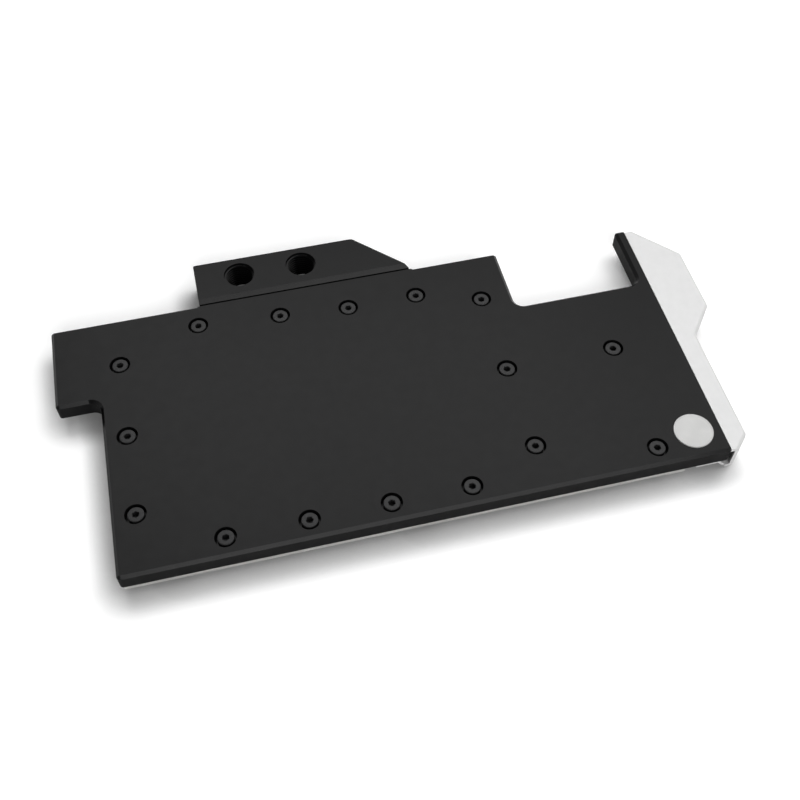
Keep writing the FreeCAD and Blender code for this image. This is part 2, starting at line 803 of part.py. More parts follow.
def make_badge_pad():
    """Adhesive pad under the badge."""
    z0 = top_z - badge_recess
    return rod(badge_r - slip, Vector(badge_x, badge_y, z0), UP, badge_pad_t)


def save(name, shape):
    """Moves a piece so that the chip's middle is the origin, and writes it."""
    solid = Part.makeCompound(shape) if isinstance(shape, list) else shape
    solid = solid.copy()
    solid.translate(Vector(-chip_x, -chip_y, 0))
    solid.exportStep(f"parts/{name}.step")
    pieces = len(solid.Solids)
    print(f"{name}: {pieces} solid(s), {solid.Volume / 1000:.2f} cm3, valid {solid.isValid()}")


def main():
    os.makedirs("parts", exist_ok=True)
    save("top_plate", make_top_plate())
    save("cold_plate", make_cold_plate())
    save("jet_plate", make_jet_plate())
    save("main_seal", make_main_seal())
    save("top_screws", make_top_screws())
    save("terminal", make_terminal())
    save("inlet_seal", make_terminal_seal(0))
    save("outlet_seal", make_terminal_seal(1))
    save("terminal_screws", make_terminal_screws())
    save("core_standoffs", [make_standoff(x, y) for x, y in core_standoff_places()])
    save("board_standoffs", [make_standoff(x, y) for x, y in board_standoff_places()])
    save("side_cover", make_side_cover())
    save("cover_screws", make_cover_screws())
    save("badge", make_badge())
    save("badge_pad", make_badge_pad())


main()
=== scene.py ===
import logging
import math
from dataclasses import dataclass, field
from enum import Enum
from typing import Callable, Sequence

import bmesh
import bpy
from mathutils import Matrix, Vector


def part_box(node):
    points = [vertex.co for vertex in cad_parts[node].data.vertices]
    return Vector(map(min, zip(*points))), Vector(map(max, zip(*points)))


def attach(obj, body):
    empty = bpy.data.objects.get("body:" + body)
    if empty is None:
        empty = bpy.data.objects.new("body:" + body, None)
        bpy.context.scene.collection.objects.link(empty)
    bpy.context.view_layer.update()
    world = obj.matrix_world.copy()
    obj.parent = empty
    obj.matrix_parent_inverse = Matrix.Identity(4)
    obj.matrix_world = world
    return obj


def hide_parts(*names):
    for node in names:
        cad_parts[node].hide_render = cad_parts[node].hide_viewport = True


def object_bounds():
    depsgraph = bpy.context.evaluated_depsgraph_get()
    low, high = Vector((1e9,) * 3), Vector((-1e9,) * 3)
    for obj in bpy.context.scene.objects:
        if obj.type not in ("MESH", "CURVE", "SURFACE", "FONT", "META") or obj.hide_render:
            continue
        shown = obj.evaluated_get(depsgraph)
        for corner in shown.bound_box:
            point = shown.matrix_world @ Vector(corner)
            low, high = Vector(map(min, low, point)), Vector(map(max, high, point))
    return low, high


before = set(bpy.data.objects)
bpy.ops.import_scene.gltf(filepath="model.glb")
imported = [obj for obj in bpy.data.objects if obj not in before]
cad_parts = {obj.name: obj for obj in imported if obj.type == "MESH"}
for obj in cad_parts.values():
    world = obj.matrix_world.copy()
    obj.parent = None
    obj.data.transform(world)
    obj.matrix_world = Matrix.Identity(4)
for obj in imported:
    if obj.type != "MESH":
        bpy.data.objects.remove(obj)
cad_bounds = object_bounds()

# A full-cover water block for a graphics card, laid flat on a pale table. Lengths are metres.
# Every solid is dressed. The terminal, the badge, the screws and the standoffs are modelled again
# at the same place and size, with their threads, sockets and broken edges.

log = logging.getLogger("water_block")
MM = 0.001
BODY = "root"
MERGE = 0.001 * MM  # points closer than this are one point
CUT_ROOM = MERGE / 100  # points this close to a flat cut lie on it
SORT_DIGITS = 5  # solids in one row count as level to a hundredth of a millimetre
CREASE = math.radians(32.0)  # edges sharper than this stay creased
SQUARE_TO = 0.99  # a face is square to an axis when its normal has this much of it
GOLDEN_TURN = math.radians(137.5)  # from one copy to the next, so that no two stand alike
NOISE_RANGE = (0.3, 0.7)  # a noise pattern seldom leaves these values
WALL_TO_BEVEL = (0.2, 0.6)  # how much a normal points up, between a wall and a bevel
BEVEL_TO_TOP = (0.9, 0.98)  # the same, between a bevel and a flat top
BLACK = (0, 0, 0, 1)
WHITE = (1, 1, 1, 1)

# The sockets of a colour mix. Their names are shared by those for numbers and vectors.
MIX_SHARE = 0
MIX_FIRST = 6
MIX_SECOND = 7
MIX_RESULT = 2

# One turn of a thread's section, side by side: how far it goes out, as a share of the thread's
# depth, and how far up, as a share of its pitch.
THREAD_SECTION = ((0, 0.15), (1, 0.3), (0, 0.1), (-1, 0.3), (0, 0.15))

Point = Sequence[float]
Socket = bpy.types.NodeSocket


class Cut(Enum):
    """What a boolean operation does with its second shape."""

    REMOVE = "DIFFERENCE"
    ADD = "UNION"


class Pick(Enum):
    """What edit mode selects."""

    POINTS = "VERT"
    EDGES = "EDGE"
    FACES = "FACE"


class Grain(Enum):
    """Which way the fine marks on a surface run."""

    NONE = "none"
    ALONG_X = "along x"


class Heads(Enum):
    """Which way the heads of a group of screws point."""

    UP = (0, 0, 1)
    DOWN = (0, 0, -1)
    BACK = (0, 1, 0)


def enter_edit() -> None:
    """Goes to edit mode, with what was selected there before."""
    bpy.ops.object.mode_set(mode="EDIT")


def leave_edit() -> None:
    """Goes back to object mode."""
    bpy.ops.object.mode_set(mode="OBJECT")


def wipe_selection() -> None:
    """Leaves nothing selected, in object mode."""
    if bpy.context.object and bpy.context.object.mode != "OBJECT":
        leave_edit()
    bpy.ops.object.select_all(action="DESELECT")


def take(piece: bpy.types.Object) -> None:
    """Makes one piece the only selected and the active one.

    Args:
        piece: The piece that the next steps work on.
    """
    wipe_selection()
    piece.hide_set(False)
    piece.select_set(True)
    bpy.context.view_layer.objects.active = piece


def settle(piece: bpy.types.Object) -> None:
    """Puts the piece's place, turn and size into its mesh."""
    take(piece)
    bpy.ops.object.transform_apply(location=True, rotation=True, scale=True)


def apply_modifier(piece: bpy.types.Object, modifier: bpy.types.Modifier) -> None:
    """Applies one modifier as a user would."""
    take(piece)
    bpy.ops.object.modifier_apply(modifier=modifier.name)


def open_edit(piece: bpy.types.Object, kind: Pick = Pick.POINTS, everything: bool = True) -> None:
    """Opens a piece in edit mode with all of it selected, or nothing.

    Args:
        piece: The mesh object that is shaped.
        kind: What edit mode selects.
        everything: Whether all of it is selected.
    """
    take(piece)
    enter_edit()
    bpy.ops.mesh.select_mode(type=kind.value)
    bpy.ops.mesh.select_all(action="SELECT" if everything else "DESELECT")


def pick_faces(piece: bpy.types.Object, test: Callable[[bpy.types.MeshPolygon], bool]) -> None:
    """Selects the faces that pass a test, in edit mode and face mode.

    Args:
        piece: The mesh object that is shaped.
        test: Whether one face is wanted.
    """
    open_edit(piece, Pick.FACES, everything=False)
    leave_edit()
    for face in piece.data.polygons:
        face.select = test(face)
    enter_edit()


def pick_edges(piece: bpy.types.Object, test: Callable[[Vector, Vector], bool]) -> None:
    """Selects the edges whose two ends pass a test, in edit mode and edge mode.

    Args:
        piece: The mesh object that is shaped.
        test: Whether an edge between two points is wanted.
    """
    open_edit(piece, Pick.EDGES, everything=False)
    leave_edit()
    points = piece.data.vertices
    for edge in piece.data.edges:
        ends = [points[i].co for i in edge.vertices]
        edge.select = test(*ends)
    enter_edit()


def close(a: float, b: float, room: float = 0.02 * MM) -> bool:
    """Whether two lengths are the same within a little room."""
    return abs(a - b) < room


def level_at(height: float) -> Callable[[Vector, Vector], bool]:
    """A test for edges that lie flat at one height."""
    return lambda a, b: close(a.z, height) and close(b.z, height)


def close_seams(piece: bpy.types.Object) -> None:
    """Merges doubled points and turns all faces outwards.

    Args:
        piece: The mesh object that is cleaned.
    """
    open_edit(piece)
    bpy.ops.mesh.remove_doubles(threshold=MERGE)
    bpy.ops.mesh.normals_make_consistent(inside=False)
    leave_edit()


def combine(body: bpy.types.Object, tool: bpy.types.Object, how: Cut) -> None:
    """Combines a tool shape with a body, and deletes the tool.

    Args:
        body: The piece that stays.
        tool: The closed shape that cuts or adds.
        how: Whether the tool is removed or added.
    """
    close_seams(tool)
    change = body.modifiers.new("combine", "BOOLEAN")
    change.operation = how.value
    change.solver = "EXACT"
    change.object = tool
    apply_modifier(body, change)
    bpy.data.objects.remove(tool, do_unlink=True)
    close_seams(body)


def rod(name: str, radius: float, low: Point, high: Point, steps: int = 64,
        top_radius: float | None = None) -> bpy.types.Object:
    """A round bar or cone between two points.

    Args:
        name: The object's name.
        radius: Radius at the low point.
        low: Middle of the first end.
        high: Middle of the other end.
        steps: How many sides it has.
        top_radius: Radius at the high point, if it isn't the same.

    Returns:
        The new object, with its place in its mesh.
    """
    a = Vector(low)
    b = Vector(high)
    wipe_selection()
    bpy.ops.mesh.primitive_cone_add(
        vertices=steps, radius1=radius, radius2=radius if top_radius is None else top_radius,
        depth=(b - a).length, location=(a + b) / 2,
        rotation=(b - a).to_track_quat("Z", "Y").to_euler())
    bar = bpy.context.object
    bar.name = name
    settle(bar)
    return bar


def brick(name: str, low: Point, high: Point) -> bpy.types.Object:
    """A box between two corners.

    Args:
        name: The object's name.
        low: Its lowest corner.
        high: Its highest corner.

    Returns:
        The new object, with its place in its mesh.
    """
    a = Vector(low)
    b = Vector(high)
    wipe_selection()
    bpy.ops.mesh.primitive_cube_add(size=1.0, location=(a + b) / 2)
    box = bpy.context.object
    box.name = name
    box.scale = b - a
    settle(box)
    return box


def finish_mesh(piece: bpy.types.Object) -> None:
    """Merges doubles, turns the faces outwards and smooths what isn't a crease."""
    close_seams(piece)
    bpy.ops.object.shade_smooth_by_angle(angle=CREASE)


def place_copy(model: bpy.types.Object, name: str, place: Matrix) -> bpy.types.Object:
    """A copy of a model piece with its own mesh, put at a place.

    Args:
        model: The piece that is copied.
        name: The copy's name.
        place: Where it goes and how it is turned.

    Returns:
        The copy, with its place in its mesh.
    """
    wipe_selection()
    copy = model.copy()
    copy.data = model.data.copy()
    copy.name = name
    bpy.context.collection.objects.link(copy)
    copy.data.transform(place)
    return copy


def carry(piece: bpy.types.Object, slot: str, *nodes: str) -> None:
    """Fixes a finished piece to the object and hides the solids that it replaces.

    Args:
        piece: The finished piece.
        slot: The name of a material slot, which is not used.
        nodes: The solids that it replaces.
    """
    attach(piece, BODY)
    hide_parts(*nodes)
    log.info("%s: %d faces", piece.name, len(piece.data.polygons))


def solids_of(node: str) -> list[tuple[Vector, Vector]]:
    """Lowest and highest corners of each separate solid in a node.

    Args:
        node: The node's name.

    Returns:
        One pair of corners for each solid, sorted along X and then Y.
    """
    mesh = bmesh.new()
    mesh.from_mesh(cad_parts[node].data)
    bmesh.ops.remove_doubles(mesh, verts=mesh.verts, dist=MERGE)
    left = set(mesh.verts)
    found = []
    while left:
        stack = [left.pop()]
        points = []
        while stack:
            vertex = stack.pop()
            points.append(vertex.co.copy())
            for edge in vertex.link_edges:
                other = edge.other_vert(vertex)
                if other in left:
                    left.remove(other)
                    stack.append(other)
        low = Vector([min(p[i] for p in points) for i in range(3)])
        high = Vector([max(p[i] for p in points) for i in range(3)])
        found.append((low, high))
    mesh.free()
    return sorted(found, key=lambda pair: [round(pair[0][i], SORT_DIGITS) for i in (0, 1)])


class NodeSheet:
    """Small helper that adds and joins the nodes of one material or of the world."""

    def __init__(self, name: str = "", tree: bpy.types.NodeTree | None = None) -> None:
        """Starts a material with a Principled shader, or takes the nodes that are given.

        Args:
            name: The new material's name.
            tree: The nodes that are used in place of a new material's.
        """
        if tree is not None:
            self.tree = tree
            return
        self.material = bpy.data.materials.new(name)
        self.material.use_nodes = True
        self.tree = self.material.node_tree
        self.shader = self.tree.nodes["Principled BSDF"]

    def add(self, kind: str) -> bpy.types.Node:
        """Adds one node."""
        return self.tree.nodes.new(kind)

    def join(self, source: Socket, target: Socket) -> None:
        """Joins two sockets."""
        self.tree.links.new(source, target)

    def seen_rays(self) -> Socket:
        """One for what is seen directly, mirrored or through glass, and nothing for light."""
        path = self.add("ShaderNodeLightPath")
        return self.sum([path.outputs[name] for name in
                         ("Is Camera Ray", "Is Glossy Ray", "Is Transmission Ray")])

    def upward(self) -> Socket:
        """How much the surface faces up, from the piece's own normals.

        Returns:
            One on a flat top, nothing on a wall and less than nothing below.
        """
        normal = self.add("ShaderNodeTexCoord").outputs["Normal"]
        parts = self.add("ShaderNodeSeparateXYZ")
        self.join(normal, parts.inputs["Vector"])
        return parts.outputs["Z"]

    def noise(self, place: Socket, size: float, detail: float) -> Socket:
        """A noise pattern of one real size.

        Args:
            place: The coordinates that it follows.
            size: Length of one patch, in metres.
            detail: How many finer patterns lie on it.

        Returns:
            The pattern's value, from 0 to 1.
        """
        node = self.add("ShaderNodeTexNoise")
        node.inputs["Scale"].default_value = 1 / size
        node.inputs["Detail"].default_value = detail
        self.join(place, node.inputs["Vector"])
        return node.outputs["Fac"]

    def blend(self, value: Socket, low: Sequence[float], high: Sequence[float]) -> Socket:
        """Colours a noise pattern between two tones.

        Args:
            value: The pattern's value.
            low: Colour where the pattern is low.
            high: Colour where it is high.

        Returns:
            The colour.
        """
        ramp = self.add("ShaderNodeValToRGB")
        for stop, position, colour in zip(ramp.color_ramp.elements, NOISE_RANGE, (low, high)):
            stop.position = position
            stop.color = (*colour, 1.0)
        self.join(value, ramp.inputs["Fac"])
        return ramp.outputs["Color"]

    def scale(self, value: Socket, low: float, high: float,
              to_low: float, to_high: float) -> Socket:
        """Maps one range of values onto another.

        Args:
            value: The value that is mapped.
            low: Its lowest value.
            high: Its highest value.
            to_low: What the lowest becomes.
            to_high: What the highest becomes.

        Returns:
            The mapped value.
        """
        node = self.add("ShaderNodeMapRange")
        node.inputs["From Min"].default_value = low
        node.inputs["From Max"].default_value = high
        node.inputs["To Min"].default_value = to_low
        node.inputs["To Max"].default_value = to_high
        self.join(value, node.inputs["Value"])
        return node.outputs["Result"]

    def product(self, one: Socket, other: Socket) -> Socket:
        """Multiplies two values.

        Args:
            one: The first value.
            other: The value that it is multiplied by.

        Returns:
            Their product.
        """
        node = self.add("ShaderNodeMath")
        node.operation = "MULTIPLY"
        self.join(one, node.inputs[0])
        self.join(other, node.inputs[1])
        return node.outputs["Value"]

    def sum(self, values: Sequence[Socket]) -> Socket:
        """Adds several values up.

        Args:
            values: Two or more values.

        Returns:
            Their sum.
        """
        total = values[0]
        for value in values[1:]:
            node = self.add("ShaderNodeMath")
            node.operation = "ADD"
            self.join(total, node.inputs[0])
            self.join(value, node.inputs[1])
            total = node.outputs["Value"]
        return total

    def bump(self, height: Socket, depth: float) -> Socket:
        """Turns a pattern into a fine relief.

        Args:
            height: The pattern.
            depth: Height of the relief, in metres.

        Returns:
            The changed normal.
        """
        node = self.add("ShaderNodeBump")
        node.inputs["Strength"].default_value = 1.0
        node.inputs["Distance"].default_value = depth
        self.join(height, node.inputs["Height"])
        return node.outputs["Normal"]


@dataclass(frozen=True)
class Finish:
    """A surface finish made of nodes, on Object coordinates.

    The colour varies by tone_spread in patches of tone_size, and the roughness by rough_spread in
    patches of patch_share times that size. Where cut_roughness is given, it holds on bevels,
    wall_roughness holds on standing walls, and roughness is left for the flat top.
    """

    name: str
    colour: tuple[float, float, float]
    metallic: float = 0.0
    roughness: float = 0.5
    ior: float = 1.5
    gloss: float = 0.5
    tone_spread: float = 0.06
    tone_size: float = 9.0 * MM
    rough_spread: float = 0.04
    patch_share: float = 0.4
    grain_size: float = 0.25 * MM
    grain_height: float = 0.004 * MM
    grain: Grain = Grain.NONE
    grain_stretch: float = 30.0
    cut_roughness: float | None = None
    wall_roughness: float = 0.6

    def coordinates(self, links: NodeSheet) -> Socket:
        """Object coordinates, stretched along the grain.

        Args:
            links: The material's nodes.

        Returns:
            The socket that gives the place on the surface.
        """
        place = links.add("ShaderNodeTexCoord").outputs["Object"]
        if self.grain is Grain.NONE:
            return place
        stretch = links.add("ShaderNodeMapping")
        stretch.inputs["Scale"].default_value = (1 / self.grain_stretch, 1, 1)
        links.join(place, stretch.inputs["Vector"])
        return stretch.outputs["Vector"]

    def surface_roughness(self, links: NodeSheet, place: Socket) -> Socket:
        """The roughness, patchy, and with values of its own on bevels and walls.

        Args:
            links: The material's nodes.
            place: The place on the surface.

        Returns:
            The roughness at each place.
        """
        patches = links.noise(place, self.tone_size * self.patch_share, detail=5.0)
        rough = links.scale(patches, *NOISE_RANGE, self.roughness - self.rough_spread,
                            self.roughness + self.rough_spread)
        if self.cut_roughness is None:
            return rough
        level = links.upward()
        bevels = links.scale(level, *BEVEL_TO_TOP, self.cut_roughness / self.roughness, 1.0)
        walls = links.scale(level, *WALL_TO_BEVEL, self.wall_roughness / self.cut_roughness, 1.0)
        return links.product(links.product(rough, bevels), walls)

    def build(self) -> bpy.types.Material:
        """Builds the material's nodes.

        Returns:
            The finished material.
        """
        links = NodeSheet(self.name)
        shader = links.shader
        shader.inputs["Metallic"].default_value = self.metallic
        shader.inputs["IOR"].default_value = self.ior
        shader.inputs["Specular IOR Level"].default_value = self.gloss
        place = self.coordinates(links)
        tone = links.noise(place, self.tone_size, detail=3.0)
        low = [c * (1 - self.tone_spread) for c in self.colour]
        high = [min(1.0, c * (1 + self.tone_spread)) for c in self.colour]
        links.join(links.blend(tone, low, high), shader.inputs["Base Color"])
        links.join(self.surface_roughness(links, place), shader.inputs["Roughness"])
        fine = links.noise(place, self.grain_size, detail=2.0)
        links.join(links.bump(fine, self.grain_height), shader.inputs["Normal"])
        return links.material


class Palette:
    """All finishes of the object, each built once."""

    BLACK_ACETAL = Finish("black_acetal", (0.0016, 0.0016, 0.0017), roughness=0.30, ior=1.48,
                          gloss=0.109, cut_roughness=0.2, rough_spread=0.02,
                          tone_spread=0.05, grain_size=0.12 * MM, grain_height=0.0015 * MM)
    PLATED_COPPER = Finish("nickel_plate", (0.83, 0.82, 0.80), metallic=1.0, roughness=0.26,
                           tone_spread=0.07, tone_size=1.1 * MM, rough_spread=0.07,
                           grain_size=0.09 * MM, grain_height=0.001 * MM, grain=Grain.ALONG_X)
    THIN_STEEL = Finish("rolled_steel", (0.55, 0.55, 0.55), metallic=1.0, roughness=0.3,
                        grain=Grain.ALONG_X)
    SEAL_RUBBER = Finish("soft_rubber", (0.015, 0.015, 0.015), roughness=0.7,
                         grain_size=0.1 * MM)
    BLACK_SCREW = Finish("black_screw", (0.017, 0.017, 0.0175), metallic=0.3, roughness=0.5,
                         gloss=0.3, tone_spread=0.12, tone_size=1.2 * MM, grain_size=0.08 * MM,
                         grain_height=0.003 * MM)
    PLATED_BRASS = Finish("plated_brass", (0.66, 0.63, 0.58), metallic=1.0, roughness=0.28,
                          tone_spread=0.04, tone_size=2.0 * MM, grain_size=0.06 * MM)
    BLASTED_SHEET = Finish("blasted_sheet", (0.575, 0.575, 0.575), metallic=0.35, roughness=0.55,
                           tone_spread=0.015, tone_size=4.0 * MM, grain_size=0.10 * MM,
                           grain_height=0.004 * MM)
    BADGE_METAL = Finish("turned_badge", (0.40, 0.40, 0.395), metallic=0.5, roughness=0.5,
                         tone_spread=0.02, grain_size=0.06 * MM, grain_height=0.001 * MM)
    PAD_FOAM = Finish("white_foam", (0.75, 0.75, 0.72), roughness=0.8)

    def __init__(self) -> None:
        """Builds a material for each finish."""
        finishes = [value for value in vars(Palette).values() if isinstance(value, Finish)]
        self.materials = {finish.name: finish.build() for finish in finishes}

    def dress(self, piece: bpy.types.Object, finish: Finish) -> None:
        """Gives a whole piece one finish.

        Args:
            piece: A node or a new piece.
            finish: The finish that it gets.
        """
        material = self.materials[finish.name]
        if not piece.material_slots:
            piece.data.materials.append(material)
        for slot in piece.material_slots:
            slot.material = material
        log.info("%s is dressed in %s", piece.name, finish.name)


@dataclass(frozen=True)
class Thread:
    """A screw thread, made as a solid threaded bar.

    minor and major are its radii at the root and at the crest, and steps says how many flats one
    turn has. The winding starts lead turns below the bar and has spare turns more than the bar,
    so that both ends are cut through whole turns.
    """

    minor: float
    major: float
    pitch: float
    steps: int
    lead: float = 2.13
    spare: int = 3

    def bar(self, name: str, low: float, high: float) -> bpy.types.Object:
        """A solid threaded bar round the Z axis.

        Args:
            name: The object's name.
            low: Height of its lower end.
            high: Height of its upper end.

        Returns:
            The closed bar.
        """
        wipe_selection()
        bpy.ops.mesh.primitive_plane_add(size=self.pitch, location=(0, 0, 0))
        bar = bpy.context.object
        bar.name = name
        open_edit(bar)
        bpy.ops.mesh.merge(type="CENTER")
        bpy.ops.transform.translate(value=(self.minor, 0, low - self.lead * self.pitch))
        depth = self.major - self.minor
        for out, up in THREAD_SECTION:
            bpy.ops.mesh.extrude_region_move(
                TRANSFORM_OT_translate={"value": (out * depth, 0, up * self.pitch)})
        leave_edit()
        winding = bar.modifiers.new("winding", "SCREW")
        winding.screw_offset = self.pitch
        winding.iterations = math.ceil((high - low) / self.pitch) + self.spare
        winding.steps = self.steps
        winding.render_steps = self.steps
        apply_modifier(bar, winding)
        open_edit(bar)
        bpy.ops.mesh.remove_doubles(threshold=MERGE)
        for height, side in ((low, -1), (high, 1)):
            bpy.ops.mesh.select_all(action="SELECT")
            bpy.ops.mesh.bisect(plane_co=(0, 0, height), plane_no=(0, 0, side),
                                use_fill=True, clear_outer=True, threshold=CUT_ROOM)
        bpy.ops.mesh.select_all(action="SELECT")
        bpy.ops.mesh.normals_make_consistent(inside=False)
        leave_edit()
        return bar


SCREW_THREAD = Thread(minor=1.65 * MM, major=2.0 * MM, pitch=0.7 * MM, steps=24)
COVER_THREAD = Thread(minor=1.2 * MM, major=1.5 * MM, pitch=0.5 * MM, steps=24)
STANDOFF_THREAD = Thread(minor=1.08 * MM, major=1.25 * MM, pitch=0.45 * MM, steps=24)
PIPE_THREAD = Thread(minor=5.72 * MM, major=6.5 * MM, pitch=1.337 * MM, steps=72)


@dataclass(frozen=True)
class SocketScrew:
    """A screw with a round head and a hexagon socket, head up, its top at height zero.

    foot_share is a share of rim, and socket_share of the head's height. ledge_share and
    point_share are shares of the distance to the socket's corners. mouth_shares are shares of
    mouth: how far inside the corners its cone starts, how far outside them it ends, and how far
    above the head.
    """

    head_radius: float
    head_height: float
    key: float
    length: float
    thread: Thread
    rim: float = 0.4 * MM
    rim_shape: float = 0.6
    foot_share: float = 0.3
    socket_share: float = 0.57
    ledge_share: float = 0.12
    point_share: float = 0.8
    point_angle: float = 60.0
    mouth: float = 0.12 * MM
    mouth_shares: tuple[float, float, float] = (0.6, 1.2, 1.3)

    def head(self, name: str) -> bpy.types.Object:
        """The head with its rounded rim.

        Args:
            name: The object's name.

        Returns:
            The head, without its socket.
        """
        head = rod(name, self.head_radius, (0, 0, -self.head_height), (0, 0, 0), steps=72)
        pick_edges(head, level_at(0))
        bpy.ops.mesh.bevel(offset=self.rim, segments=4, profile=self.rim_shape)
        leave_edit()
        pick_edges(head, level_at(-self.head_height))
        bpy.ops.mesh.bevel(offset=self.rim * self.foot_share, segments=1)
        leave_edit()
        return head

    def socket(self) -> bpy.types.Object:
        """The hexagon hole with the drill's point at its bottom and a widened mouth.

        Returns:
            The shape that is cut out of the head.
        """
        corner = self.key / math.sqrt(3)
        deep = self.head_height * self.socket_share
        point = corner * self.point_share / math.tan(math.radians(self.point_angle))
        inside, outside, above = (self.mouth * share for share in self.mouth_shares)
        hole = rod("socket", corner, (0, 0, -deep), (0, 0, self.mouth), steps=6)
        pick_faces(hole, lambda face: face.normal.z < -SQUARE_TO)
        bpy.ops.mesh.inset(thickness=corner * self.ledge_share)
        bpy.ops.mesh.extrude_region_move(TRANSFORM_OT_translate={"value": (0, 0, -point)})
        bpy.ops.mesh.merge(type="CENTER")
        leave_edit()
        wide = rod("mouth", corner - inside, (0, 0, -self.mouth), (0, 0, above), steps=48,
                   top_radius=corner + outside)
        combine(hole, wide, Cut.ADD)
        return hole

    def model(self, name: str) -> bpy.types.Object:
        """The whole screw, with its thread.

        Args:
            name: The object's name.

        Returns:
            The screw that the copies are made from.
        """
        screw = self.head(name)
        combine(screw, self.socket(), Cut.REMOVE)
        bar = self.thread.bar("shank", -self.head_height - self.length,
                              -self.head_height + self.rim)
        combine(screw, bar, Cut.ADD)
        finish_mesh(screw)
        return screw


@dataclass
class ScrewGroup:
    """Equal screws of one node, each modelled screw put where the solid is."""

    palette: Palette
    node: str
    screw: SocketScrew
    heads: Heads = Heads.UP

    def place(self, low: Vector, high: Vector, index: int) -> Matrix:
        """Where one screw goes.

        Args:
            low: Lowest corner of its solid.
            high: Highest corner of its solid.
            index: Its number, which turns its socket.

        Returns:
            The place and turn of the copy.
        """
        direction = self.heads.value
        ends = {-1: low, 0: (low + high) / 2, 1: high}
        top = Vector([ends[side][i] for i, side in enumerate(direction)])
        turn = Vector(direction).to_track_quat("Z", "Y").to_matrix().to_4x4()
        return Matrix.Translation(top) @ turn @ Matrix.Rotation(index * GOLDEN_TURN, 4, "Z")

    def build(self) -> None:
        """Models the screw once and puts a copy in each place."""
        model = self.screw.model(self.node + "_model")
        self.palette.dress(model, Palette.BLACK_SCREW)
        for index, (low, high) in enumerate(solids_of(self.node)):
            copy = place_copy(model, f"{self.node}_{index + 1}", self.place(low, high, index))
            carry(copy, "black_screws", self.node)
        bpy.data.objects.remove(model, do_unlink=True)


@dataclass
class Standoffs:
    """Turned and plated standoffs with a stud above and a threaded hole from below.

    mouth_shares are shares of the hole's outer radius, at the foot, and of its inner radius.
    """

    palette: Palette
    node: str
    barrel_radius: float = 2.5 * MM
    barrel_height: float = 3.6 * MM
    stud_radius: float = 1.5 * MM
    edge: float = 0.3 * MM
    hole: Thread = STANDOFF_THREAD
    hole_depth: float = 3.0 * MM
    mouth_shares: tuple[float, float] = (1.25, 0.9)

    def model(self, low: Vector, high: Vector) -> bpy.types.Object:
        """One standoff with its foot at height zero.

        Args:
            low: Lowest corner of one of the solids.
            high: Its highest corner.

        Returns:
            The standoff that the copies are made from.
        """
        standoff = rod(self.node + "_model", self.barrel_radius, (0, 0, 0),
                       (0, 0, self.barrel_height), steps=48)
        pick_edges(standoff, lambda a, b: close(a.z, b.z))
        bpy.ops.mesh.bevel(offset=self.edge, segments=2)
        leave_edit()
        stud = rod("stud", self.stud_radius, (0, 0, self.barrel_height - self.edge),
                   (0, 0, high.z - low.z), steps=32)
        combine(standoff, stud, Cut.ADD)
        foot_share, inner_share = self.mouth_shares
        mouth = rod("mouth", self.hole.major * foot_share, (0, 0, -self.edge),
                    (0, 0, self.edge), steps=32, top_radius=self.hole.minor * inner_share)
        combine(standoff, mouth, Cut.REMOVE)
        combine(standoff, self.hole.bar("hole", -self.edge, self.hole_depth), Cut.REMOVE)
        finish_mesh(standoff)
        return standoff

    def build(self) -> None:
        """Models one standoff and puts a copy in each place."""
        solids = solids_of(self.node)
        model = self.model(*solids[0])
        self.palette.dress(model, Palette.PLATED_BRASS)
        for index, (low, high) in enumerate(solids):
            foot = (low + high) / 2
            foot.z = low.z
            place = Matrix.Translation(foot) @ Matrix.Rotation(index * GOLDEN_TURN, 4, "Z")
            copy = place_copy(model, f"{self.node}_{index + 1}", place)
            carry(copy, "standoff_brass", self.node)
        bpy.data.objects.remove(model, do_unlink=True)


